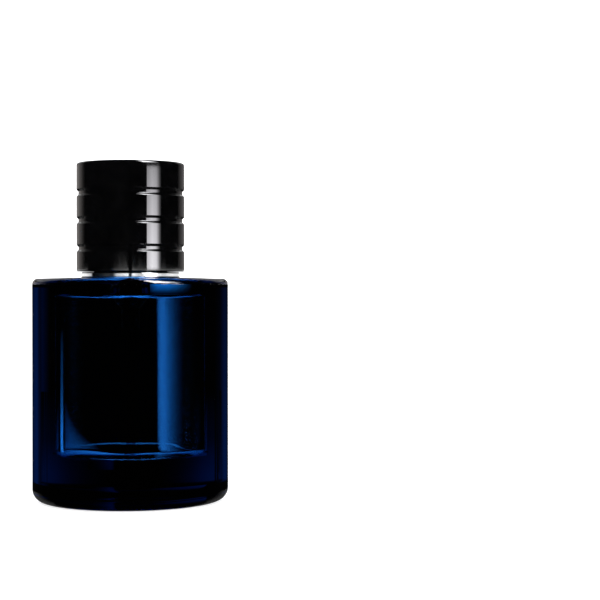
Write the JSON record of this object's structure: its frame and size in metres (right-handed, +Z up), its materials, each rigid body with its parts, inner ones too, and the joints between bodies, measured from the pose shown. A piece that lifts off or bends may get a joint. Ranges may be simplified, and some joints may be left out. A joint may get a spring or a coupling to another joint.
{
  "type": "aftershave bottle",
  "caption": "Round thick-walled dark blue glass aftershave bottle with a crimped spray pump, metal collar and a tall grooved black cap.",
  "frame": {"origin": "centre of the foot, on the surface that the bottle stands on", "axes": "+Z up along the bottle's axis, the spray nozzle faces -Y"},
  "size_m": [0.07, 0.07, 0.1215],
  "materials": {
    "bottle_glass": "deep blue, polished",
    "liquid": "clear liquid, seen blue through the glass",
    "neck_gasket": "smooth",
    "ferrule_metal": "satin",
    "pump_plastic": "natural",
    "ball_steel": "polished",
    "spring_steel": "drawn wire",
    "stem_plastic": "natural",
    "piston_plastic": "natural",
    "stem_gasket": "matt",
    "dip_tube": "translucent",
    "collar_chrome": "polished",
    "insert_plastic": "natural",
    "button_plastic": "smooth",
    "button_metal": "polished",
    "nozzle_plastic": "smooth",
    "cap_black": "high gloss",
    "liner_plastic": "smooth",
    "weight_steel": "zinc plated"
  },
  "bodies": {
    "bottle": {"bottle": "bottle_glass", "liquid": "liquid", "neck_gasket": "neck_gasket", "ferrule": "ferrule_metal", "pump_housing": "pump_plastic", "return_spring": "spring_steel", "stem_gasket": "stem_gasket", "turret": "pump_plastic", "dip_tube": "dip_tube", "collar": "collar_chrome", "collar_insert": "insert_plastic"},
    "pump_stem": {"stem": "stem_plastic", "valve_stem": "stem_plastic", "valve_spring": "spring_steel"},
    "piston": {"piston": "piston_plastic"},
    "inlet_ball": {"inlet_ball": "ball_steel"},
    "button": {"actuator": "button_plastic", "actuator_shell": "button_metal", "spray_nozzle": "nozzle_plastic"},
    "cap": {"cap_shell": "cap_black", "cap_liner": "liner_plastic", "cap_weight": "weight_steel"}
  },
  "joints": [
    {"name": "cap_lift", "type": "slide", "parent": "bottle", "child": "cap", "axis": [0, 0, 1], "range_m": [0, 0.045]},
    {"name": "button_press", "type": "slide", "parent": "bottle", "child": "pump_stem", "axis": [0, 0, -1], "range_m": [0, 0.0042], "stiffness_N_per_m": 1500, "springref_m": -0.0033, "deforming": ["return_spring"]},
    {"name": "piston_slip", "type": "slide", "parent": "pump_stem", "child": "piston", "axis": [0, 0, 1], "range_m": [0, 0.0006], "stiffness_N_per_m": 2500, "springref_m": -0.001, "deforming": ["valve_spring"]},
    {"name": "button_turn", "type": "hinge", "parent": "pump_stem", "child": "button", "pos_m": [0, 0, 0.1], "axis": [0, 0, 1], "continuous": true},
    {"name": "ball_lift", "type": "slide", "parent": "bottle", "child": "inlet_ball", "axis": [0, 0, 1], "range_m": [0, 0.0008]}
  ]
}
